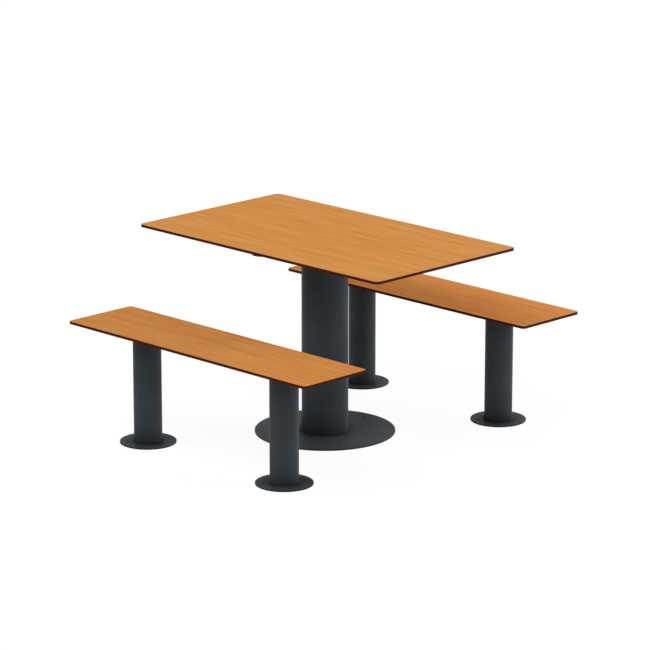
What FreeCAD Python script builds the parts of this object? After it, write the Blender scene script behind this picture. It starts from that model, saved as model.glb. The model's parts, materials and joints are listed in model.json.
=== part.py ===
import FreeCAD, Part
import math
import os
from FreeCAD import Vector

# Table with two benches, all fixed to the ground. Millimetres, +Z up.
# The origin is on the ground, on the axis of the table's column.
# +X runs along the boards, and +Y runs from the front bench to the back bench.

# Boards: compact laminate
TABLE_LENGTH = 1200.0
TABLE_WIDTH = 700.0
TABLE_HEIGHT = 724.0
TABLE_CORNER_RADIUS = 20.0
SEAT_LENGTH = 1200.0
SEAT_WIDTH = 300.0
SEAT_HEIGHT = 427.0
SEAT_CORNER_RADIUS = 15.0
BENCH_OFFSET = 545.0
BOARD_THICKNESS = 10.0
BOARD_EDGE_CHAMFER = 0.8

# Steel plates
PLATE_THICKNESS = 5.0
PLATE_EDGE_CHAMFER = 0.6

# Table column and its round base plate
COLUMN_DIAMETER = 168.3
COLUMN_WALL = 4.0
COLUMN_BASE_DIAMETER = 508.0
COLUMN_ANCHOR_CIRCLE = 400.0
COLUMN_FIRST_ANCHOR_DEG = 90.0

# Bench legs, each of a lower and an upper tube with a sleeve inside their joint
LEG_DIAMETER = 101.6
LEG_WALL = 3.6
LEG_SPACING = 696.0
LEG_BASE_DIAMETER = 203.0
LEG_ANCHOR_CIRCLE = 150.0
LEG_FIRST_ANCHOR_DEG = 0.0
LEG_JOINT_HEIGHT = 172.0
LEG_JOINT_CHAMFER = 0.4
SLEEVE_WALL = 4.0
SLEEVE_HALF_LENGTH = 70.0
SLEEVE_SLIDING_GAP = 0.2
SLEEVE_LEAD_IN = 2.0

# Ground anchor holes
ANCHOR_COUNT = 3
ANCHOR_HOLE_DIAMETER = 12.0

# Carrier plate under the table top: a round hub with four round-ended arms
CARRIER_HUB_DIAMETER = 210.0
CARRIER_ARM_WIDTH = 75.0
CARRIER_LONG_REACH = 500.0
CARRIER_CROSS_REACH = 346.0
CARRIER_INNER_RADIUS = 25.0

# Rail under each seat: a round-ended flat bar
RAIL_WIDTH = 110.0
RAIL_LENGTH = 1080.0

# Ribs under the carrier and the rails: each starts inside its tube by the overlap and is cut to fit
RIB_THICKNESS = 5.0
RIB_ROOT_DEPTH = 40.0
RIB_TIP_DEPTH = 10.0
RIB_WELD_NOTCH = 9.0
RIB_OVERLAP = 1.0
TABLE_LONG_RIB_REACH = 440.0
TABLE_CROSS_RIB_REACH = 286.0
RAIL_OUTER_RIB_REACH = 505.0

# Fillet welds round the tubes: the hollow is how deep the middle of a weld's face lies
WELD_LEG = 5.0
WELD_HOLLOW = 0.6

# Screw joints: M6 button-head screws, flat washers and blind inserts
SCREW_DIAMETER = 5.9
SCREW_LENGTH = 12.0
SCREW_TIP_CHAMFER = 0.6
SCREW_HEAD_DIAMETER = 10.5
SCREW_HEAD_HEIGHT = 3.3
SCREW_HEAD_RIM = 0.6
SCREW_CROWN_DIAMETER = 6.0
SCREW_DOME_BULGE = 0.6
SCREW_SOCKET_WIDTH = 4.0
SCREW_SOCKET_DEPTH = 2.0
SCREW_CLEARANCE_HOLE = 6.6
WASHER_OUTER = 12.0
WASHER_INNER = 6.4
WASHER_THICKNESS = 1.6
INSERT_OUTER = 9.0
INSERT_BORE = 6.0
INSERT_LENGTH = 7.0
INSERT_HOLE_DEPTH = 7.5
TABLE_SCREW_OFFSET = 22.0
TABLE_LONG_SCREWS = (280.0, 450.0)
TABLE_CROSS_SCREWS = (288.0,)
RAIL_SCREW_OFFSET = 35.0
RAIL_SCREWS = (-480.0, -220.0, 0.0, 220.0, 480.0)

# Heights that follow from the sizes above
TABLE_UNDERSIDE = TABLE_HEIGHT - BOARD_THICKNESS
CARRIER_UNDERSIDE = TABLE_UNDERSIDE - PLATE_THICKNESS
SEAT_UNDERSIDE = SEAT_HEIGHT - BOARD_THICKNESS
RAIL_UNDERSIDE = SEAT_UNDERSIDE - PLATE_THICKNESS

# How near two lengths are that count as the same
TINY = 1e-4
NEAR = 0.01

UP = Vector(0, 0, 1)


def save(name, shape):
    shape.exportStep(f"parts/{name}.step")


def cylinder(diameter, height, x, y, bottom):
    return Part.makeCylinder(diameter / 2, height, Vector(x, y, bottom))


def edges_at(shape, height):
    """The edges that lie wholly at one height."""
    return [e for e in shape.Edges if all(abs(v.Z - height) < TINY for v in e.Vertexes)]


def upright_edges(shape):
    """The edges that stand straight up."""
    boxes = [(e, e.BoundBox) for e in shape.Edges]
    return [e for e, box in boxes if box.ZLength > TINY and box.XLength < TINY and box.YLength < TINY]


def circle_points(x, y, circle, count, first_deg):
    """Points evenly spaced on a circle round (x, y)."""
    points = []
    for i in range(count):
        angle = math.radians(first_deg + 360.0 * i / count)
        points.append((x + circle / 2 * math.cos(angle), y + circle / 2 * math.sin(angle)))
    return points


def drilled(shape, points, diameter, bottom, depth):
    """The shape with a round hole at each point."""
    for x, y in points:
        shape = shape.cut(cylinder(diameter, depth, x, y, bottom))
    return shape


def board(length, width, y, top, corner_radius, screw_points):
    """A laminate board with round corners, eased edges and blind holes for its inserts."""
    bottom = top - BOARD_THICKNESS
    shape = Part.makeBox(length, width, BOARD_THICKNESS, Vector(-length / 2, y - width / 2, bottom))
    shape = shape.makeFillet(corner_radius, upright_edges(shape))
    shape = shape.makeChamfer(BOARD_EDGE_CHAMFER, edges_at(shape, top) + edges_at(shape, bottom))
    return drilled(shape, screw_points, INSERT_OUTER, bottom, INSERT_HOLE_DEPTH)


def round_ended_bar(length, width, y, bottom):
    """A flat bar along X with half-round ends."""
    straight = length - width
    shape = Part.makeBox(straight, width, PLATE_THICKNESS, Vector(-straight / 2, y - width / 2, bottom))
    for x in (-straight / 2, straight / 2):
        shape = shape.fuse(cylinder(width, PLATE_THICKNESS, x, y, bottom))
    return shape.removeSplitter()


def carrier_plate(screw_points):
    """The table's cut plate: hub and four arms, with rounded inner corners."""
    long_bar = round_ended_bar(2 * CARRIER_LONG_REACH, CARRIER_ARM_WIDTH, 0, CARRIER_UNDERSIDE)
    cross_bar = round_ended_bar(2 * CARRIER_CROSS_REACH, CARRIER_ARM_WIDTH, 0, CARRIER_UNDERSIDE)
    cross_bar.rotate(Vector(), UP, 90)
    hub = cylinder(CARRIER_HUB_DIAMETER, PLATE_THICKNESS, 0, 0, CARRIER_UNDERSIDE)
    shape = hub.fuse([long_bar, cross_bar]).removeSplitter()
    half = CARRIER_ARM_WIDTH / 2
    meets = math.sqrt((CARRIER_HUB_DIAMETER / 2) ** 2 - half ** 2)
    corners = [e for e in upright_edges(shape) if is_inner_corner(e, half, meets)]
    shape = shape.makeFillet(CARRIER_INNER_RADIUS, corners)
    return drilled(shape, screw_points, SCREW_CLEARANCE_HOLE, CARRIER_UNDERSIDE, PLATE_THICKNESS)


def is_inner_corner(edge, half, meets):
    """True for an edge where an arm's side meets the hub's rim."""
    place = sorted((abs(edge.CenterOfMass.x), abs(edge.CenterOfMass.y)))
    return abs(place[0] - half) < NEAR and abs(place[1] - meets) < NEAR


def rail(y, screw_points):
    shape = round_ended_bar(RAIL_LENGTH, RAIL_WIDTH, y, RAIL_UNDERSIDE)
    return drilled(shape, screw_points, SCREW_CLEARANCE_HOLE, RAIL_UNDERSIDE, PLATE_THICKNESS)


def base_plate(diameter, x, y, anchor_circle, first_deg):
    """A round plate on the ground with eased rims and anchor holes."""
    shape = cylinder(diameter, PLATE_THICKNESS, x, y, 0)
    shape = shape.makeChamfer(PLATE_EDGE_CHAMFER, edges_at(shape, PLATE_THICKNESS))
    points = circle_points(x, y, anchor_circle, ANCHOR_COUNT, first_deg)
    return drilled(shape, points, ANCHOR_HOLE_DIAMETER, 0, PLATE_THICKNESS)


def tube(diameter, wall, x, y, bottom, top):
    outer = cylinder(diameter, top - bottom, x, y, bottom)
    return outer.cut(cylinder(diameter - 2 * wall, top - bottom, x, y, bottom))


def eased_rim(shape, diameter, height, size):
    """The tube with its outer edge at one height chamfered."""
    rim = [e for e in edges_at(shape, height) if abs(e.BoundBox.XLength - diameter) < NEAR]
    return shape.makeChamfer(size, rim)


def sleeve(x, y):
    """The stepped joining sleeve: fast in the lower tube, a sliding fit in the upper one."""
    outer = LEG_DIAMETER - 2 * LEG_WALL
    slim = outer - 2 * SLEEVE_SLIDING_GAP
    bottom = LEG_JOINT_HEIGHT - SLEEVE_HALF_LENGTH
    top = LEG_JOINT_HEIGHT + SLEEVE_HALF_LENGTH
    shape = cylinder(outer, SLEEVE_HALF_LENGTH, x, y, bottom)
    shape = shape.fuse(cylinder(slim, SLEEVE_HALF_LENGTH, x, y, LEG_JOINT_HEIGHT))
    shape = shape.cut(cylinder(outer - 2 * SLEEVE_WALL, 2 * SLEEVE_HALF_LENGTH, x, y, bottom))
    return eased_rim(shape, slim, top, SLEEVE_LEAD_IN)


def weld(diameter, x, y, height, direction):
    """A fillet weld round a tube: direction 1 stands on a plate, and -1 hangs below one."""
    inner = diameter / 2
    corner = Vector(inner, 0, height)
    foot = Vector(inner + WELD_LEG, 0, height)
    head = Vector(inner, 0, height + direction * WELD_LEG)
    middle = WELD_LEG / 2 - WELD_HOLLOW
    waist = Vector(inner + middle, 0, height + direction * middle)
    face = Part.Face(Part.Wire([
        Part.LineSegment(corner, foot).toShape(),
        Part.Arc(foot, waist, head).toShape(),
        Part.LineSegment(head, corner).toShape(),
    ]))
    ring = face.revolve(Vector(), UP, 360)
    ring.translate(Vector(x, y, 0))
    return ring


def rib(start, end, start_depth, end_depth, notch_end, top):
    """An upright rib along +X from start to end, with its corners by a tube cut away for the weld."""
    near_corner = [Vector(start, 0, top - RIB_WELD_NOTCH), Vector(start + RIB_WELD_NOTCH, 0, top)]
    far_corner = [Vector(end, 0, top)]
    if notch_end:
        far_corner = [Vector(end - RIB_WELD_NOTCH, 0, top), Vector(end, 0, top - RIB_WELD_NOTCH)]
    lower_edge = [Vector(end, 0, top - end_depth), Vector(start, 0, top - start_depth)]
    points = near_corner + far_corner + lower_edge
    outline = Part.makePolygon(points + [points[0]])
    shape = Part.Face(outline).extrude(Vector(0, RIB_THICKNESS, 0))
    shape.translate(Vector(0, -RIB_THICKNESS / 2, 0))
    return shape


def screw(x, y, seat):
    """A button-head socket screw that points up, with the underside of its head at the given height."""
    radius = SCREW_DIAMETER / 2
    head = SCREW_HEAD_DIAMETER / 2
    crown = SCREW_CROWN_DIAMETER / 2
    start = Vector(0, 0, -SCREW_HEAD_HEIGHT)
    crown_edge = Vector(crown, 0, -SCREW_HEAD_HEIGHT)
    rim = Vector(head, 0, -SCREW_HEAD_RIM)
    dome = (crown_edge + rim) / 2 + Vector(SCREW_DOME_BULGE, 0, -SCREW_DOME_BULGE)
    line = [
        rim,
        Vector(head, 0, 0),
        Vector(radius, 0, 0),
        Vector(radius, 0, SCREW_LENGTH - SCREW_TIP_CHAMFER),
        Vector(radius - SCREW_TIP_CHAMFER, 0, SCREW_LENGTH),
        Vector(0, 0, SCREW_LENGTH),
        start,
    ]
    profile = Part.Wire(
        [Part.LineSegment(start, crown_edge).toShape(), Part.Arc(crown_edge, dome, rim).toShape()]
        + Part.makePolygon(line).Edges
    )
    shape = Part.Face(profile).revolve(Vector(), UP, 360)
    shape = shape.cut(hexagon_prism(SCREW_SOCKET_WIDTH, SCREW_SOCKET_DEPTH, -SCREW_HEAD_HEIGHT))
    shape.translate(Vector(x, y, seat))
    return shape


def hexagon_prism(width, depth, bottom):
    """A hexagonal prism of the given width across its flats."""
    corners = circle_points(0, 0, 2 * width / math.sqrt(3), 6, 0)
    points = [Vector(x, y, bottom) for x, y in corners]
    return Part.Face(Part.makePolygon(points + [points[0]])).extrude(Vector(0, 0, depth))


def washer(x, y, top):
    ring = cylinder(WASHER_OUTER, WASHER_THICKNESS, x, y, top - WASHER_THICKNESS)
    return ring.cut(cylinder(WASHER_INNER, WASHER_THICKNESS, x, y, top - WASHER_THICKNESS))


def insert(x, y, bottom):
    outer = cylinder(INSERT_OUTER, INSERT_LENGTH, x, y, bottom)
    return outer.cut(cylinder(INSERT_BORE, INSERT_LENGTH, x, y, bottom))


def screw_joints(name, points, plate_underside, board_underside):
    """The inserts, screws and washers that hold one board, each kind as one group."""
    head_seat = plate_underside - WASHER_THICKNESS
    save(f"{name}_inserts", Part.makeCompound([insert(x, y, board_underside) for x, y in points]))
    save(f"{name}_screws", Part.makeCompound([screw(x, y, head_seat) for x, y in points]))
    save(f"{name}_washers", Part.makeCompound([washer(x, y, plate_underside) for x, y in points]))


def table_screw_points():
    points = []
    for along in TABLE_LONG_SCREWS:
        for side in (-1, 1):
            points += [(side * along, -TABLE_SCREW_OFFSET), (side * along, TABLE_SCREW_OFFSET)]
    for along in TABLE_CROSS_SCREWS:
        for side in (-1, 1):
            points += [(-TABLE_SCREW_OFFSET, side * along), (TABLE_SCREW_OFFSET, side * along)]
    return points


def build_table():
    points = table_screw_points()
    save("table_top", board(TABLE_LENGTH, TABLE_WIDTH, 0, TABLE_HEIGHT, TABLE_CORNER_RADIUS, points))
    save("table_carrier_plate", carrier_plate(points))
    screw_joints("table_top", points, CARRIER_UNDERSIDE, TABLE_UNDERSIDE)
    save("table_column", tube(COLUMN_DIAMETER, COLUMN_WALL, 0, 0, PLATE_THICKNESS, CARRIER_UNDERSIDE))
    save("table_column_head_weld", weld(COLUMN_DIAMETER, 0, 0, CARRIER_UNDERSIDE, -1))
    save("table_column_base_weld", weld(COLUMN_DIAMETER, 0, 0, PLATE_THICKNESS, 1))
    plate = base_plate(COLUMN_BASE_DIAMETER, 0, 0, COLUMN_ANCHOR_CIRCLE, COLUMN_FIRST_ANCHOR_DEG)
    save("table_base_plate", plate)
    column = cylinder(COLUMN_DIAMETER, TABLE_HEIGHT, 0, 0, 0)
    sides = (("right", 0, TABLE_LONG_RIB_REACH), ("back", 90, TABLE_CROSS_RIB_REACH),
             ("left", 180, TABLE_LONG_RIB_REACH), ("front", 270, TABLE_CROSS_RIB_REACH))
    start = COLUMN_DIAMETER / 2 - RIB_OVERLAP
    for side, turn, reach in sides:
        shape = rib(start, reach, RIB_ROOT_DEPTH, RIB_TIP_DEPTH, False, CARRIER_UNDERSIDE)
        shape = shape.cut(column)
        shape.rotate(Vector(), UP, turn)
        save(f"table_rib_{side}", shape)


def build_leg(name, x, y):
    lower = tube(LEG_DIAMETER, LEG_WALL, x, y, PLATE_THICKNESS, LEG_JOINT_HEIGHT)
    upper = tube(LEG_DIAMETER, LEG_WALL, x, y, LEG_JOINT_HEIGHT, RAIL_UNDERSIDE)
    save(f"{name}_lower_tube", eased_rim(lower, LEG_DIAMETER, LEG_JOINT_HEIGHT, LEG_JOINT_CHAMFER))
    save(f"{name}_upper_tube", eased_rim(upper, LEG_DIAMETER, LEG_JOINT_HEIGHT, LEG_JOINT_CHAMFER))
    save(f"{name}_joint_sleeve", sleeve(x, y))
    save(f"{name}_base_plate", base_plate(LEG_BASE_DIAMETER, x, y, LEG_ANCHOR_CIRCLE, LEG_FIRST_ANCHOR_DEG))
    save(f"{name}_base_weld", weld(LEG_DIAMETER, x, y, PLATE_THICKNESS, 1))
    save(f"{name}_head_weld", weld(LEG_DIAMETER, x, y, RAIL_UNDERSIDE, -1))


def build_rail_ribs(name, y):
    """One rib between the legs and a tapered one outside each leg."""
    leg_x = LEG_SPACING / 2
    inside = leg_x - LEG_DIAMETER / 2 + RIB_OVERLAP
    outside = leg_x + LEG_DIAMETER / 2 - RIB_OVERLAP
    middle = rib(-inside, inside, RIB_ROOT_DEPTH, RIB_ROOT_DEPTH, True, RAIL_UNDERSIDE)
    right = rib(outside, RAIL_OUTER_RIB_REACH, RIB_ROOT_DEPTH, RIB_TIP_DEPTH, False, RAIL_UNDERSIDE)
    left = right.copy()
    left.rotate(Vector(), UP, 180)
    for side, shape in (("middle", middle), ("right", right), ("left", left)):
        shape.translate(Vector(0, y, 0))
        for x in (-leg_x, leg_x):
            shape = shape.cut(cylinder(LEG_DIAMETER, SEAT_HEIGHT, x, y, 0))
        save(f"{name}_rib_{side}", shape)


def build_bench(name, y):
    points = [(x, y + side * RAIL_SCREW_OFFSET) for x in RAIL_SCREWS for side in (-1, 1)]
    save(f"{name}_seat", board(SEAT_LENGTH, SEAT_WIDTH, y, SEAT_HEIGHT, SEAT_CORNER_RADIUS, points))
    save(f"{name}_rail", rail(y, points))
    screw_joints(f"{name}_seat", points, RAIL_UNDERSIDE, SEAT_UNDERSIDE)
    build_rail_ribs(name, y)
    build_leg(f"{name}_left_leg", -LEG_SPACING / 2, y)
    build_leg(f"{name}_right_leg", LEG_SPACING / 2, y)


os.makedirs("parts", exist_ok=True)
build_table()
build_bench("front_bench", -BENCH_OFFSET)
build_bench("back_bench", BENCH_OFFSET)
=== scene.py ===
import json
import math

import bmesh
import bpy
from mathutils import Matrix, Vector


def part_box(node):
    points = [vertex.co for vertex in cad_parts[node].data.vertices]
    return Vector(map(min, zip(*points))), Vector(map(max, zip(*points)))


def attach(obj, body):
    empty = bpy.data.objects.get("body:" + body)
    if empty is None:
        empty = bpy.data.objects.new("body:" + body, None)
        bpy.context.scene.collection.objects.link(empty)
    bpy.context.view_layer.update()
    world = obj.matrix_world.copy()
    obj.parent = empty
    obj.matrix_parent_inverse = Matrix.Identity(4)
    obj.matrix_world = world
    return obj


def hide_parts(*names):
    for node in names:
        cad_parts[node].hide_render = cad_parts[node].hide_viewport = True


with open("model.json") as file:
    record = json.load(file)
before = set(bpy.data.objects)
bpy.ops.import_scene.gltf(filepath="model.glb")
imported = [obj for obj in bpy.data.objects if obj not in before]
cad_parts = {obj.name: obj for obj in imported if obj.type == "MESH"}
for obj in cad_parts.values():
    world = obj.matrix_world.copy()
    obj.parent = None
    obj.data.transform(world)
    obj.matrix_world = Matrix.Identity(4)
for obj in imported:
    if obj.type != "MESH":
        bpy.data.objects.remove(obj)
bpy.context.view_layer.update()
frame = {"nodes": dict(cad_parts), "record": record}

# Sizes are in metres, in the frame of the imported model.
BODY = "root"
MM = 0.001
MERGE_DISTANCE = 1e-6

# The photograph's view: where the camera stands, what it looks at and how long its lens is
VIEW_AZIMUTH = math.radians(45.06)
VIEW_ELEVATION = math.radians(15.08)
VIEW_DISTANCE = 12.84
VIEW_AIM_HEIGHT = 0.3941
VIEW_REACH = 100.0
LENS_MM = 198.45
SENSOR_MM = 36.0

# Boards: each has its corner radius, and the shares of red, green and blue that it takes from the
# wood tones
TABLE_CORNER = 20 * MM
SEAT_CORNER = 15 * MM
BOARDS = {
    "table_top": (TABLE_CORNER, (1.0, 1.0, 1.0)),
    "front_bench_seat": (SEAT_CORNER, (0.99, 0.96, 1.01)),
    # The back seat's redder, less green shares are partly a board-to-board difference and partly painted
    # shade, standing in for the redder look of its part in the table's shadow
    "back_bench_seat": (SEAT_CORNER, (1.075, 0.985, 1.0)),
}
BOARD_EASE = 0.8 * MM
CORNER_STEPS = 10
EASE_STEPS = 3
HOLE_STEPS = 24
INSERT_HOLE_RADIUS = 4.5 * MM
INSERT_HOLE_DEPTH = 7.5 * MM

# Wood print: the cell sizes of its noises along X, Y and Z, its rings and its tones from dark to pale
BROAD_CELL = (1.10, 0.090, 0.05)
DRIFT_CELL = (0.85, 0.110, 0.05)
STREAK_CELL = (0.34, 0.014, 0.02)
LINE_CELL = (0.11, 0.0034, 0.01)
PORE_CELL = (0.014, 0.0008, 0.01)
RING_WIDTH = 16 * MM
RING_DRIFT = 7.0
WOOD_TONES = (
    (0.20, (0.560, 0.202, 0.035)),
    (0.50, (0.625, 0.266, 0.0645)),
    (0.80, (0.685, 0.334, 0.105)),
)
PORE_COLOUR = (0.330, 0.110, 0.018, 1.0)
GRAIN_DEPTH = 0.05 * MM
WOOD_GLOSS = 0.02

# Cut edge of the boards
LAYER_CELL = (0.30, 0.30, 0.00045)
BLOTCH_CELL = (0.05, 0.05, 0.01)
CORE_TONES = (
    (0.25, (0.036, 0.0075, 0.0026)),
    (0.50, (0.056, 0.0120, 0.0042)),
    (0.78, (0.084, 0.0200, 0.0085)),
)
LAYER_DEPTH = 0.06 * MM
CORE_GLOSS = 0.015

# Powder coat: each has its colour, the share of it that the outer rims of base plates keep under painted
# shade, how dark the painted shade in its corners at the feet is, and its gloss
COATS = {
    "frame": ((0.0352, 0.0444, 0.0516), 1.0, 0.45, 0.05),
    "lower_leg": ((0.0373, 0.0471, 0.0547), 1.0, 0.45, 0.05),
    # The base plates take a paler, bluer copy of the coat: painted light, standing in for the light on
    # their upturned faces
    "base_plate": ((0.0380, 0.0508, 0.0620), 0.35, 0.75, 0.065),
    # The weld takes a darker copy of the coat: painted shade, standing in for the shadow in the corner at
    # each tube's foot
    "weld": ((0.0260, 0.0328, 0.0381), 1.0, 0.45, 0.02),
}
COAT_SHADES = (0.80, 1.20)
PEBBLE_CELL = (0.0011, 0.0011, 0.0011)
CLOUD_CELL = (0.09, 0.09, 0.09)
FLECK_CELL = (0.004, 0.004, 0.004)
PEBBLE_DEPTH = 0.12 * MM
# How far the painted shade round each tube's foot reaches
PAINTED_SHADE_REACH = 30 * MM
# The share of a base plate's radius at which its outer rim, with the painted shade on its upright side,
# begins
RIM_START = 0.9

# Bare metal: each has its colour and its roughness
METALS = {
    "stainless_steel_screws": ((0.56, 0.55, 0.53), 0.32),
    "brass_inserts": ((0.62, 0.42, 0.16), 0.35),
}
METAL_SHADES = (0.82, 1.10)
TURNING_CELL = (0.004, 0.004, 0.00025)
STAIN_CELL = (0.006, 0.006, 0.006)
TURNING_DEPTH = 0.02 * MM

# Welds
WELD_LEG = 5 * MM
WELD_FACE_ROWS = 6
WELD_HOLLOW = 0.6
WELD_UNEVENNESS = 0.2
RIPPLE_PITCH = 5 * MM
RIPPLE_STEPS = 4
RIPPLE_HEIGHT = 0.45 * MM
RIPPLE_BOW = 0.5

# Screws and washers
SCREW_RINGS = 24
SCREW_SHANK_RADIUS = 2.95 * MM
SCREW_SOCKET_FLAT = 4 * MM
SCREW_SOCKET_DEPTH = 2 * MM
SCREW_CROWN_RADIUS = 3 * MM
SCREW_RIM = 0.6 * MM
SCREW_DOME_STEPS = 5
WASHER_BORE_RADIUS = 3.2 * MM
WASHER_EASE_SHARE = 0.15
SHARP_EDGE = math.radians(32)

# Stage
WHITE = (1.0, 1.0, 1.0, 1.0)
BLACK = (0.0, 0.0, 0.0, 1.0)
FLOOR_PAINT = (0.9, 0.9, 0.9, 1.0)
FLOOR_RADIUS = 40.0
FLOOR_SEGMENTS = 64
FLOOR_SHADOW_SHARE = 0.14
FLOOR_GLOW = 1.04
FLOOR_SHADOW_REACH = 3.0

# Light: each softbox has its azimuth and elevation in degrees, its width in metres and its power in watts
WORLD_LIGHT = 0.10
SOFTBOX_DISTANCE = 12.0
SOFTBOXES = {
    "key_front": (0.0, 55.0, 8.0, 461.0),
    "key_left": (315.0, 33.0, 8.0, 409.0),
    "fill_camera": (45.0, 33.0, 8.0, 380.0),
    "side_right_low": (135.0, 12.0, 5.0, 623.0),
    "side_right_high": (135.0, 33.0, 8.0, 254.0),
    "behind_low": (180.0, 12.0, 5.0, 695.0),
    "behind_high": (225.0, 55.0, 8.0, 211.0),
}

BENCHES = ("front_bench", "back_bench")
LEGS = [f"{bench}_{side}_leg" for bench in BENCHES for side in ("left", "right")]

scene = bpy.context.scene


# Node trees

class Value:
    """A node's output, with the operators that the node maths is written in."""

    def __init__(self, nodes, socket):
        self.nodes = nodes
        self.socket = socket

    def math(self, operation, first, second=0.0):
        return self.nodes.make("ShaderNodeMath", {"operation": operation}, {0: first, 1: second})["Value"]

    def __add__(self, other):
        return self.math("ADD", self, other)

    def __radd__(self, other):
        return self.math("ADD", other, self)

    def __sub__(self, other):
        return self.math("SUBTRACT", self, other)

    def __rsub__(self, other):
        return self.math("SUBTRACT", other, self)

    def __mul__(self, other):
        return self.math("MULTIPLY", self, other)

    def __rmul__(self, other):
        return self.math("MULTIPLY", other, self)

    def __truediv__(self, other):
        return self.math("DIVIDE", self, other)

    def __rtruediv__(self, other):
        return self.math("DIVIDE", other, self)

    def __pow__(self, other):
        return self.math("POWER", self, other)

    def __rpow__(self, other):
        return self.math("POWER", other, self)

    def __gt__(self, other):
        return self.math("GREATER_THAN", self, other)

    def __lt__(self, other):
        return self.math("LESS_THAN", self, other)

    def __abs__(self):
        return self.math("ABSOLUTE", self)

    def sin(self):
        return self.math("SINE", self)

    def cos(self):
        return self.math("COSINE", self)

    def fraction(self):
        return self.math("FRACT", self)

    def root(self):
        return self.math("SQRT", self)

    def exp(self):
        return self.math("EXPONENT", self)

    def at_least(self, least):
        return self.math("MAXIMUM", self, least)

    def at_most(self, most):
        return self.math("MINIMUM", self, most)


class Nodes:
    """A node tree, and the one method that makes its nodes."""

    def __init__(self, tree):
        self.tree = tree
        tree.nodes.clear()

    def make(self, kind, settings=None, inputs=None):
        """Adds a node. Gives its outputs by name."""
        node = self.tree.nodes.new(kind)
        for name, value in (settings or {}).items():
            if name == "stops":
                self.set_stops(node.color_ramp, value)
            else:
                setattr(node, name, value)
        for key, value in (inputs or {}).items():
            socket = self.pick(node.inputs, key)
            if isinstance(value, Value):
                self.tree.links.new(value.socket, socket)
            else:
                socket.default_value = value
        return {s.name: Value(self, s) for s in reversed(node.outputs) if s.enabled}

    @staticmethod
    def pick(sockets, key):
        if isinstance(key, int):
            return sockets[key]
        return next(s for s in sockets if s.name == key and s.enabled)

    @staticmethod
    def set_stops(ramp, stops):
        while len(ramp.elements) < len(stops):
            ramp.elements.new(1.0)
        for element, (position, colour) in zip(ramp.elements, stops):
            element.position = position
            element.color = (*colour, 1.0)


def parts_of(nodes, vector):
    """The X, Y and Z of a vector, by name."""
    return nodes.make("ShaderNodeSeparateXYZ", {}, {0: vector})


def vector_of(nodes, **parts):
    return nodes.make("ShaderNodeCombineXYZ", {}, parts)["Vector"]


# Materials

def new_material(name):
    material = bpy.data.materials.new(name)
    material.use_nodes = True
    return material, Nodes(material.node_tree)


def surface(nodes, **sockets):
    """Ends a material in one principled shader. Socket names are written with _ for spaces."""
    inputs = {name.replace("_", " "): value for name, value in sockets.items()}
    shader = nodes.make("ShaderNodeBsdfPrincipled", {}, inputs)["BSDF"]
    nodes.make("ShaderNodeOutputMaterial", {}, {"Surface": shader})


def own_place(nodes):
    return nodes.make("ShaderNodeTexCoord")["Object"]


def cells(nodes, place, size, detail=2.0, offset=(0.0, 0.0, 0.0), roughness=0.5):
    """Noise whose cells have the given size along X, Y and Z."""
    scale = tuple(1 / s for s in size)
    mapped = nodes.make("ShaderNodeMapping", {}, {"Vector": place, "Location": offset, "Scale": scale})
    return nodes.make("ShaderNodeTexNoise", {}, {
        "Vector": mapped["Vector"], "Scale": 1.0, "Detail": detail, "Roughness": roughness,
    })["Fac"]


def ramp(nodes, factor, stops):
    return nodes.make("ShaderNodeValToRGB", {"stops": stops}, {"Fac": factor})["Color"]


def mix_colour(nodes, factor, first, second):
    return nodes.make("ShaderNodeMix", {"data_type": "RGBA"}, {
        "Factor": factor, "A": first, "B": second,
    })["Result"]


def bump(nodes, height, distance, strength=1.0):
    return nodes.make("ShaderNodeBump", {}, {
        "Height": height, "Distance": distance, "Strength": strength,
    })["Normal"]


def shades(colour, shares):
    """A colour's dark and pale shades."""
    return [(*(c * share for c in colour), 1.0) for share in shares]


def laminate_face(board, tone_shares):
    """Printed wood under a matt surface: orange-brown, with straight grain along X."""
    material, n = new_material(f"{board}_wood_face")
    place = own_place(n)
    broad = cells(n, place, BROAD_CELL)
    drift = cells(n, place, DRIFT_CELL, offset=(8.0, 3.0, 2.0), detail=1.0)
    streak = cells(n, place, STREAK_CELL, offset=(3.0, 7.0, 1.0))
    line = cells(n, place, LINE_CELL, offset=(11.0, 2.0, 5.0), detail=3.0)
    pore = cells(n, place, PORE_CELL, offset=(5.0, 9.0, 3.0), detail=1.0)
    across = parts_of(n, place)["Y"]
    late = (across / RING_WIDTH + drift * RING_DRIFT).fraction() ** 3.0
    tone = 0.5 + (broad - 0.5) * 0.15 + (streak - 0.5) * 0.85 + (line - 0.5) * 0.65 - (late - 0.25) * 0.14
    stops = [(stop, tuple(c * s for c, s in zip(colour, tone_shares))) for stop, colour in WOOD_TONES]
    pores = ((pore - 0.60) * 6.0).at_least(0.0).at_most(1.0)
    surface(
        n,
        Base_Color=mix_colour(n, pores * 0.30, ramp(n, tone, stops), PORE_COLOUR),
        Roughness=0.66 + (line - 0.5) * 0.12 + pores * 0.10,
        Specular_IOR_Level=WOOD_GLOSS,
        Normal=bump(n, line * 0.5 - pores, GRAIN_DEPTH),
    )
    return material


def laminate_core():
    """The cut edge of the board: dark brown paper layers pressed solid."""
    material, n = new_material("laminate_dark_core")
    place = own_place(n)
    layers = cells(n, place, LAYER_CELL)
    blotch = cells(n, place, BLOTCH_CELL, offset=(2.0, 4.0, 6.0))
    surface(
        n,
        Base_Color=ramp(n, layers * 0.7 + blotch * 0.3, CORE_TONES),
        Roughness=0.50 + layers * 0.16,
        Specular_IOR_Level=CORE_GLOSS,
        Normal=bump(n, layers, LAYER_DEPTH),
    )
    return material


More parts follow.
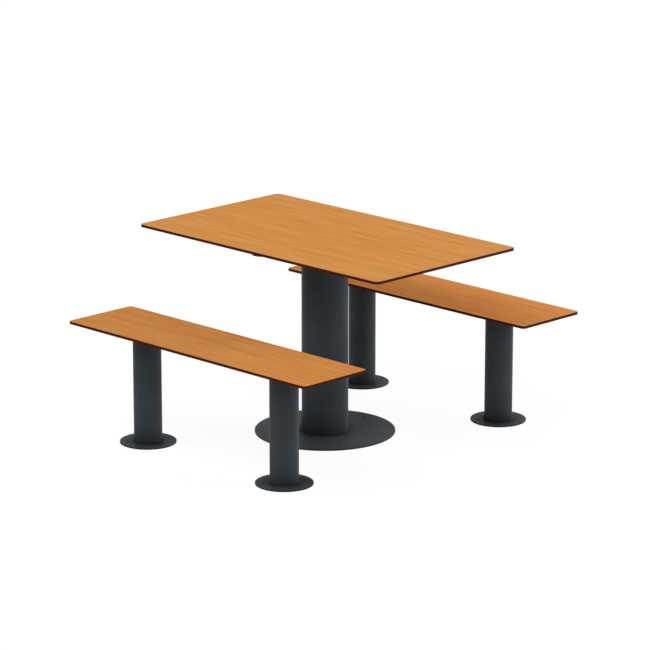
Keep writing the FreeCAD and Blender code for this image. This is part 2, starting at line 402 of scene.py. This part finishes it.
def painted_shade_masks(n, place):
    """Two masks of painted shade: the corner where a tube stands on its base plate, and the outer rim of
    the plate.
    """
    spot = parts_of(n, place)
    column_low, column_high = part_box("table_column")
    leg_low, leg_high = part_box("back_bench_right_leg_lower_tube")
    plate_low, plate_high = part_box("back_bench_right_leg_base_plate")
    table_plate_low, table_plate_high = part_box("table_base_plate")
    leg = (leg_low + leg_high) / 2
    from_leg_x = abs(spot["X"]) - leg.x
    from_leg_y = abs(spot["Y"]) - leg.y
    from_column = (spot["X"] ** 2 + spot["Y"] ** 2).root()
    from_leg = (from_leg_x * from_leg_x + from_leg_y * from_leg_y).root()
    to_column = abs(from_column - (column_high.x - column_low.x) / 2)
    to_leg = abs(from_leg - (leg_high.x - leg_low.x) / 2)
    aside = to_column.at_most(to_leg)
    above = (spot["Z"] - column_low.z).at_least(0.0)
    # Painted shade: darkest in the corner at each tube's foot, fading with distance from it
    near = (-1 / PAINTED_SHADE_REACH * (aside * aside + above * above).root()).exp()
    corner = near * (spot["Z"] > column_low.z - WELD_LEG / 4)
    # The outer rims of the plates, whose upright sides take painted shade
    outside_table = from_column > (table_plate_high.x - table_plate_low.x) / 2 * RIM_START
    outside_leg = from_leg > (plate_high.x - plate_low.x) / 2 * RIM_START
    return corner, outside_table * outside_leg


def powder_coat(name):
    """Matt anthracite powder coat with a fine pebbled texture: rougher and darkened by painted shade in the
    corners at the feet, with painted shade on the outer rims of the base plates.
    """
    colour, shaded_rim_share, painted_foot_shade, gloss = COATS[name]
    material, n = new_material(f"anthracite_coat_{name}")
    place = own_place(n)
    pebble = cells(n, place, PEBBLE_CELL)
    cloud = cells(n, place, CLOUD_CELL, offset=(1.0, 5.0, 2.0))
    fleck = cells(n, place, FLECK_CELL, offset=(4.0, 1.0, 8.0), detail=1.0)
    shade = 0.5 + (cloud - 0.5) * 0.7 + (pebble - 0.5) * 0.5 + (fleck - 0.5) * 0.25
    upright = 1 - abs(parts_of(n, n.make("ShaderNodeNewGeometry")["True Normal"])["Z"])
    corner, rim = painted_shade_masks(n, place)
    coat = mix_colour(n, shade, *shades(colour, COAT_SHADES))
    # Painted shade: the upright outer rims of the base plates are darkened
    coat = mix_colour(n, upright * rim * (1 - shaded_rim_share), coat, BLACK)
    # Painted shade: the coat darkens towards the corner at each tube's foot
    coat = mix_colour(n, corner * painted_foot_shade, coat, BLACK)
    surface(
        n,
        Base_Color=coat,
        Roughness=0.52 + (pebble - 0.5) * 0.18 + (cloud - 0.5) * 0.10 + corner * 0.15,
        Specular_IOR_Level=gloss,
        Normal=bump(n, pebble, PEBBLE_DEPTH, 0.8),
    )
    return material


def bare_metal(name):
    """Bare turned metal: fine turning marks and slight stains."""
    colour, roughness = METALS[name]
    material, n = new_material(name)
    place = own_place(n)
    marks = cells(n, place, TURNING_CELL)
    stain = cells(n, place, STAIN_CELL, offset=(2.0, 6.0, 1.0))
    surface(
        n,
        Base_Color=mix_colour(n, stain, *shades(colour, METAL_SHADES)),
        Metallic=1.0,
        Roughness=roughness + (marks - 0.5) * 0.15 + (stain - 0.5) * 0.15,
        Normal=bump(n, marks, TURNING_DEPTH),
    )
    return material


# Meshes

def new_piece(name, mesh):
    piece = bpy.data.objects.new(name, mesh)
    scene.collection.objects.link(piece)
    return piece


def dress(piece, slot, *nodes):
    """Puts a finished piece on the object, in place of the nodes that it stands for."""
    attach(piece, BODY)
    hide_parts(*nodes)


def outward_mesh(bm, name):
    """Turns a finished shape into a mesh with its faces outwards."""
    bmesh.ops.recalc_face_normals(bm, faces=bm.faces)
    mesh = bpy.data.meshes.new(name)
    bm.to_mesh(mesh)
    bm.free()
    return mesh


def circle_points(radius, count):
    turns = [2 * math.pi * i / count for i in range(count)]
    return [(radius * math.cos(a), radius * math.sin(a)) for a in turns]


def hexagon_points(flat, count):
    """Points spread round a hexagon, as many on each side."""
    points = []
    for x, y in circle_points(1.0, count):
        angle = math.atan2(y, x)
        within = (angle + math.pi / 6) % (math.pi / 3) - math.pi / 6
        reach = flat / 2 / math.cos(within)
        points.append((reach * x, reach * y))
    return points


def rounded_rectangle(low, high, radius, inset=0.0):
    """Points round a rectangle with round corners, counter-clockwise, drawn in by inset."""
    points = []
    corners = ((high.x, high.y, 0), (low.x, high.y, 1), (low.x, low.y, 2), (high.x, low.y, 3))
    for x, y, quarter in corners:
        centre_x = x - math.copysign(radius, x - (low.x + high.x) / 2)
        centre_y = y - math.copysign(radius, y - (low.y + high.y) / 2)
        for step in range(CORNER_STEPS + 1):
            angle = math.pi / 2 * (quarter + step / CORNER_STEPS)
            reach = radius - inset
            points.append((centre_x + reach * math.cos(angle), centre_y + reach * math.sin(angle)))
    return points


def ring(bm, points, height):
    return [bm.verts.new((x, y, height)) for x, y in points]


def bridge(bm, first, second, material=0):
    """Smooth quads between two rings that have the same number of points."""
    for i in range(len(first)):
        j = (i + 1) % len(first)
        face = bm.faces.new((first[i], first[j], second[j], second[i]))
        face.material_index = material
        face.smooth = True


def ring_edges(bm, verts):
    return [bm.edges.get((verts[i - 1], verts[i])) for i in range(len(verts))]


def islands(node):
    """The lowest and highest corner of each separate solid in a node."""
    bm = bmesh.new()
    bm.from_mesh(frame["nodes"][node].data)
    bmesh.ops.remove_doubles(bm, verts=bm.verts, dist=MERGE_DISTANCE)
    left = set(bm.verts)
    found = []
    while left:
        grown = [left.pop()]
        for vert in grown:
            for edge in vert.link_edges:
                other = edge.other_vert(vert)
                if other in left:
                    left.remove(other)
                    grown.append(other)
        low = Vector([min(v.co[i] for v in grown) for i in range(3)])
        high = Vector([max(v.co[i] for v in grown) for i in range(3)])
        found.append((low, high))
    bm.free()
    return sorted(found, key=lambda box: tuple(box[0]))


def board_mesh(node, corner):
    """A board with eased edges, wood on both faces, a dark cut edge and blind holes below."""
    low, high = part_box(node)
    bm = bmesh.new()
    face_material, core_material = 0, 1
    rings = []
    for step in range(EASE_STEPS + 1):
        angle = math.pi / 2 * step / EASE_STEPS
        inset = BOARD_EASE * (1 - math.sin(angle))
        rings.append((low.z + BOARD_EASE * (1 - math.cos(angle)), inset))
    heights = rings + [(low.z + high.z - z, inset) for z, inset in reversed(rings)]
    loops = [ring(bm, rounded_rectangle(low, high, corner, inset), z) for z, inset in heights]
    for lower, upper in zip(loops, loops[1:]):
        bridge(bm, lower, upper, core_material)
    top = bm.faces.new(loops[-1])
    top.material_index = face_material
    underside = ring_edges(bm, loops[0])
    for hole_low, hole_high in islands(f"{node}_inserts"):
        x = (hole_low.x + hole_high.x) / 2
        y = (hole_low.y + hole_high.y) / 2
        points = [(x + dx, y + dy) for dx, dy in circle_points(INSERT_HOLE_RADIUS, HOLE_STEPS)]
        mouth = ring(bm, points, low.z)
        end = ring(bm, points, low.z + INSERT_HOLE_DEPTH)
        bridge(bm, end, mouth, core_material)
        bm.faces.new(end).material_index = core_material
        underside += ring_edges(bm, mouth)
    filled = bmesh.ops.triangle_fill(bm, use_beauty=True, edges=underside)
    for item in filled["geom"]:
        if isinstance(item, bmesh.types.BMFace):
            item.material_index = face_material
    return outward_mesh(bm, node)


def add_boards():
    core = laminate_core()
    for node, (corner, tone_shares) in BOARDS.items():
        mesh = board_mesh(node, corner)
        mesh.materials.append(laminate_face(node, tone_shares))
        mesh.materials.append(core)
        dress(new_piece(f"{node}_board", mesh), "wood_decor_laminate", node)


# Pieces made by geometry nodes

def new_shape_tree(name, **inputs):
    """A geometry node tree with named inputs: each is a socket type, written with _ for spaces."""
    tree = bpy.data.node_groups.new(name, "GeometryNodeTree")
    nodes = Nodes(tree)
    for label, kind in inputs.items():
        tree.interface.new_socket(label.replace("_", " "), in_out="INPUT", socket_type=f"NodeSocket{kind}")
    tree.interface.new_socket("Geometry", in_out="OUTPUT", socket_type="NodeSocketGeometry")
    return nodes, nodes.make("NodeGroupInput")


def end_shape_tree(nodes, geometry, material):
    """Ends a tree: instances become real and the material is set."""
    real = nodes.make("GeometryNodeRealizeInstances", {}, {"Geometry": geometry})["Geometry"]
    coated = nodes.make("GeometryNodeSetMaterial", {}, {"Geometry": real, "Material": material})["Geometry"]
    nodes.make("NodeGroupOutput", {}, {"Geometry": coated})


def shaped(name, tree, base, **values):
    """A plain mesh piece that a geometry node tree makes from a base mesh."""
    piece = new_piece(name, base)
    modifier = piece.modifiers.new("shape", "NODES")
    modifier.node_group = tree
    for item in tree.interface.items_tree:
        label = item.name.replace(" ", "_")
        if item.in_out == "INPUT" and label in values:
            modifier[item.identifier] = values[label]
    depsgraph = bpy.context.evaluated_depsgraph_get()
    mesh = bpy.data.meshes.new_from_object(piece.evaluated_get(depsgraph))
    piece.modifiers.remove(modifier)
    piece.data = mesh
    mesh.name = name
    return piece


def face_outwards(mesh):
    bm = bmesh.new()
    bm.from_mesh(mesh)
    bmesh.ops.recalc_face_normals(bm, faces=bm.faces)
    bm.to_mesh(mesh)
    bm.free()


def weld_tree():
    """A fillet weld round a tube: a bowed ripple for each drop of metal, uneven along its way."""
    n, given = new_shape_tree(
        "weld_round_tube", Geometry="Geometry", Centre="Vector", Tube_Radius="Float", Weld_Leg="Float",
        Ripples="Int", Ripple_Height="Float", Upwards="Float", Seed="Float", Material="Material",
    )
    # A flat grid, rolled up: its rows are the weld's face from the plate to the tube, the inner corner
    # and the first row again
    rows = WELD_FACE_ROWS + 3
    around = given["Ripples"] * RIPPLE_STEPS + 1
    grid = n.make("GeometryNodeMeshGrid", {}, {
        "Size X": 1.0, "Size Y": 1.0, "Vertices X": around, "Vertices Y": rows,
    })["Mesh"]
    place = parts_of(n, n.make("GeometryNodeInputPosition")["Position"])
    along = place["X"] + 0.5
    row = (place["Y"] + 0.5) * (rows - 1)
    closing = row > WELD_FACE_ROWS + 1.5
    corner = (row > WELD_FACE_ROWS + 0.5) * (1 - closing)
    across = (row / WELD_FACE_ROWS).at_most(1.0) * (1 - closing)
    angle = along * (2 * math.pi)

    circle = vector_of(n, X=angle.cos() * 2, Y=angle.sin() * 2, Z=given["Seed"])
    uneven = n.make("ShaderNodeTexNoise", {}, {"Vector": circle, "Scale": 2.0, "Detail": 2.0})["Fac"]
    leg = given["Weld Leg"] * (1 - WELD_UNEVENNESS / 2 + uneven * WELD_UNEVENNESS)
    bow = (across * 2 - 1) ** 2 * RIPPLE_BOW
    drop = abs(((along * given["Ripples"] + bow) * math.pi).sin())
    ripple = (drop - 0.6) * given["Ripple Height"] * (across * math.pi).sin() * math.sqrt(0.5)

    quarter = across * (math.pi / 2)
    out_share = quarter.cos() ** 2 * (1 - WELD_HOLLOW) + (1 - quarter.sin()) * WELD_HOLLOW
    rise_share = quarter.sin() ** 2 * (1 - WELD_HOLLOW) + (1 - quarter.cos()) * WELD_HOLLOW
    reach = given["Tube Radius"] + (leg * out_share * (1 - corner) + ripple)
    rise = (leg * rise_share * (1 - corner) + ripple) * given["Upwards"]
    offset = vector_of(n, X=reach * angle.cos(), Y=reach * angle.sin(), Z=rise)
    target = n.make("ShaderNodeVectorMath", {"operation": "ADD"}, {0: given["Centre"], 1: offset})["Vector"]
    bead = n.make("GeometryNodeSetPosition", {}, {"Geometry": grid, "Position": target})["Geometry"]
    bead = n.make("GeometryNodeMergeByDistance", {}, {
        "Geometry": bead, "Distance": MERGE_DISTANCE,
    })["Geometry"]
    bead = n.make("GeometryNodeSetShadeSmooth", {}, {"Geometry": bead, "Shade Smooth": True})["Geometry"]
    end_shape_tree(n, bead, given["Material"])
    return n.tree


def add_welds(coat):
    tree = weld_tree()
    tubes = [("table_column", "table_column", "table_column")]
    tubes += [(leg, f"{leg}_lower_tube", f"{leg}_upper_tube") for leg in LEGS]
    for number, (name, lower, upper) in enumerate(tubes):
        for end, tube, upwards in (("base", lower, 1.0), ("head", upper, -1.0)):
            low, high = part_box(tube)
            radius = (high.x - low.x) / 2
            height = low.z if upwards > 0 else high.z
            node = f"{name}_{end}_weld"
            piece = shaped(
                f"{node}_bead", tree, bpy.data.meshes.new(node),
                Centre=((low.x + high.x) / 2, (low.y + high.y) / 2, height),
                Tube_Radius=radius, Weld_Leg=WELD_LEG,
                Ripples=round(2 * math.pi * radius / RIPPLE_PITCH), Ripple_Height=RIPPLE_HEIGHT,
                Upwards=upwards, Seed=float(number * 2 + (upwards > 0)), Material=coat,
            )
            face_outwards(piece.data)
            dress(piece, "anthracite_powder_coat", node)


def fastener_tree():
    """One fastener on each point, each turned its own way about its axis."""
    n, given = new_shape_tree(
        "fastener_set", Geometry="Geometry", Fastener="Object", Seed="Int", Material="Material",
    )
    one = n.make("GeometryNodeObjectInfo", {}, {"Object": given["Fastener"]})["Geometry"]
    turn = n.make("FunctionNodeRandomValue", {"data_type": "FLOAT"}, {
        "Min": 0.0, "Max": 2 * math.pi, "Seed": given["Seed"],
    })["Value"]
    points = n.make("GeometryNodeMeshToPoints", {}, {"Mesh": given["Geometry"]})["Points"]
    placed = n.make("GeometryNodeInstanceOnPoints", {}, {
        "Points": points, "Instance": one, "Rotation": vector_of(n, Z=turn),
    })["Instances"]
    end_shape_tree(n, placed, given["Material"])
    return n.tree


def sharp_mesh(bm, name):
    """Turns a finished turned shape into a mesh with its sharp edges marked."""
    mesh = outward_mesh(bm, name)
    mesh.set_sharp_from_angle(angle=SHARP_EDGE)
    return mesh


def screw_mesh(head_radius, head_height, shank_length):
    """A button-head socket screw that points up, with the underside of its head at zero."""
    bm = bmesh.new()
    socket = hexagon_points(SCREW_SOCKET_FLAT, SCREW_RINGS)
    rings = [ring(bm, socket, SCREW_SOCKET_DEPTH - head_height), ring(bm, socket, -head_height)]
    for step in range(SCREW_DOME_STEPS + 1):
        angle = math.pi / 2 * step / SCREW_DOME_STEPS
        radius = SCREW_CROWN_RADIUS + (head_radius - SCREW_CROWN_RADIUS) * math.sin(angle)
        height = -SCREW_RIM - (head_height - SCREW_RIM) * math.cos(angle)
        rings.append(ring(bm, circle_points(radius, SCREW_RINGS), height))
    rings.append(ring(bm, circle_points(head_radius, SCREW_RINGS), 0.0))
    rings.append(ring(bm, circle_points(SCREW_SHANK_RADIUS, SCREW_RINGS), 0.0))
    rings.append(ring(bm, circle_points(SCREW_SHANK_RADIUS, SCREW_RINGS), shank_length))
    for first, second in zip(rings, rings[1:]):
        bridge(bm, first, second)
    bm.faces.new(rings[0])
    bm.faces.new(rings[-1])
    return sharp_mesh(bm, "screw")


def washer_mesh(outer, thickness):
    """A flat washer with eased rims, its upper face at zero."""
    bm = bmesh.new()
    inner = WASHER_BORE_RADIUS
    ease = thickness * WASHER_EASE_SHARE
    outline = (
        (inner, -thickness + ease),
        (inner + ease, -thickness),
        (outer - ease, -thickness),
        (outer, -thickness + ease),
        (outer, -ease),
        (outer - ease, 0.0),
        (inner + ease, 0.0),
        (inner, -ease),
    )
    rings = [ring(bm, circle_points(radius, SCREW_RINGS), height) for radius, height in outline]
    for first, second in zip(rings, rings[1:] + rings[:1]):
        bridge(bm, first, second)
    return sharp_mesh(bm, "washer")


def add_fasteners(steel):
    tree = fastener_tree()
    for number, board in enumerate(BOARDS):
        screws = islands(f"{board}_screws")
        washers = islands(f"{board}_washers")
        screw_low, screw_high = screws[0]
        washer_low, washer_high = washers[0]
        seat = washer_low.z
        screw = screw_mesh((screw_high.x - screw_low.x) / 2, seat - screw_low.z, screw_high.z - seat)
        washer = washer_mesh((washer_high.x - washer_low.x) / 2, washer_high.z - washer_low.z)
        kinds = (("screws", screws, seat, screw), ("washers", washers, washer_high.z, washer))
        for kind, boxes, height, mesh in kinds:
            points = [((low.x + high.x) / 2, (low.y + high.y) / 2, height) for low, high in boxes]
            base = bpy.data.meshes.new(f"{board}_{kind}")
            base.from_pydata(points, [], [])
            pattern = new_piece("fastener_pattern", mesh)
            piece = shaped(f"{board}_{kind}_set", tree, base, Fastener=pattern, Seed=number, Material=steel)
            bpy.data.objects.remove(pattern)
            dress(piece, "stainless_steel", f"{board}_{kind}")


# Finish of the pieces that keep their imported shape

def coat_nodes(material, nodes):
    for node in nodes:
        mesh = frame["nodes"][node].data
        mesh.materials.clear()
        mesh.materials.append(material)


def coat_packed_pieces(coat, brass):
    slots = {s["node"]: s["material_slot"] for s in frame["record"]["subparts"]}
    coat_nodes(coat["frame"], [node for node, slot in slots.items() if slot == "anthracite_powder_coat"])
    coat_nodes(coat["lower_leg"], [f"{leg}_lower_tube" for leg in LEGS])
    coat_nodes(coat["base_plate"], [f"{foot}_base_plate" for foot in ("table", *LEGS)])
    coat_nodes(brass, [node for node, slot in slots.items() if slot == "brass"])


# Stage, light and camera

def seen_directly(n):
    """1 for the rays that show a surface as background, 0 for those that carry light."""
    path = n.make("ShaderNodeLightPath")
    return (path["Is Camera Ray"] + path["Is Glossy Ray"] + path["Is Transmission Ray"]).at_most(1.0)


def mix_shader(n, factor, first, second):
    return n.make("ShaderNodeMixShader", {}, {0: factor, 1: first, 2: second})["Shader"]


def add_floor():
    """A plain white floor that still takes the object's soft shadow, and is clear from below."""
    bm = bmesh.new()
    bmesh.ops.create_circle(bm, cap_ends=True, radius=FLOOR_RADIUS, segments=FLOOR_SEGMENTS)
    mesh = bpy.data.meshes.new("floor")
    bm.to_mesh(mesh)
    bm.free()
    material, n = new_material("floor_white")
    away = n.make("ShaderNodeVectorMath", {"operation": "LENGTH"}, {0: own_place(n)})["Value"]
    share = (1 - away / FLOOR_SHADOW_REACH).at_least(0.0) * FLOOR_SHADOW_SHARE
    paint = n.make("ShaderNodeBsdfDiffuse", {}, {"Color": FLOOR_PAINT})["BSDF"]
    white = n.make("ShaderNodeEmission", {}, {"Color": WHITE, "Strength": FLOOR_GLOW})["Emission"]
    above = mix_shader(n, seen_directly(n) * (1 - share), paint, white)
    below = n.make("ShaderNodeNewGeometry")["Backfacing"]
    clear = n.make("ShaderNodeBsdfTransparent")["BSDF"]
    n.make("ShaderNodeOutputMaterial", {}, {"Surface": mix_shader(n, below, above, clear)})
    mesh.materials.append(material)
    new_piece("floor", mesh)


def add_world():
    """White to look at, with a little even light for the object."""
    world = bpy.data.worlds.new("studio")
    scene.world = world
    world.use_nodes = True
    n = Nodes(world.node_tree)
    light = n.make("ShaderNodeBackground", {}, {"Color": WHITE, "Strength": WORLD_LIGHT})["Background"]
    white = n.make("ShaderNodeBackground", {}, {"Color": WHITE, "Strength": 1.0})["Background"]
    n.make("ShaderNodeOutputWorld", {}, {"Surface": mix_shader(n, seen_directly(n), light, white)})


def aimed(obj, place, target):
    obj.location = place
    obj.rotation_euler = (target - place).to_track_quat("-Z", "Y").to_euler()
    scene.collection.objects.link(obj)


def direction(azimuth, elevation):
    """The way to a place seen from the object; azimuth 0 is in front, and 90 to its right."""
    level = math.cos(elevation)
    return Vector((math.sin(azimuth) * level, -math.cos(azimuth) * level, math.sin(elevation)))


def add_softboxes(aim):
    for name, (azimuth, elevation, width, power) in SOFTBOXES.items():
        lamp = bpy.data.lights.new(name, "AREA")
        lamp.shape = "DISK"
        lamp.size = width
        lamp.energy = power
        holder = bpy.data.objects.new(name, lamp)
        holder.visible_camera = False
        way = direction(math.radians(azimuth), math.radians(elevation))
        aimed(holder, aim + way * SOFTBOX_DISTANCE, aim)


def add_camera(aim):
    camera = bpy.data.cameras.new("photo_view")
    camera.lens = LENS_MM
    camera.sensor_width = SENSOR_MM
    camera.clip_end = VIEW_REACH
    holder = bpy.data.objects.new("photo_view", camera)
    aimed(holder, aim + direction(VIEW_AZIMUTH, VIEW_ELEVATION) * VIEW_DISTANCE, aim)
    scene.camera = holder


def build():
    coat = {name: powder_coat(name) for name in COATS}
    metal = {name: bare_metal(name) for name in METALS}
    coat_packed_pieces(coat, metal["brass_inserts"])
    add_boards()
    add_welds(coat["weld"])
    add_fasteners(metal["stainless_steel_screws"])
    add_floor()
    add_world()
    aim = Vector((0.0, 0.0, VIEW_AIM_HEIGHT))
    add_softboxes(aim)
    add_camera(aim)
    scene.view_settings.view_transform = "Standard"


build()
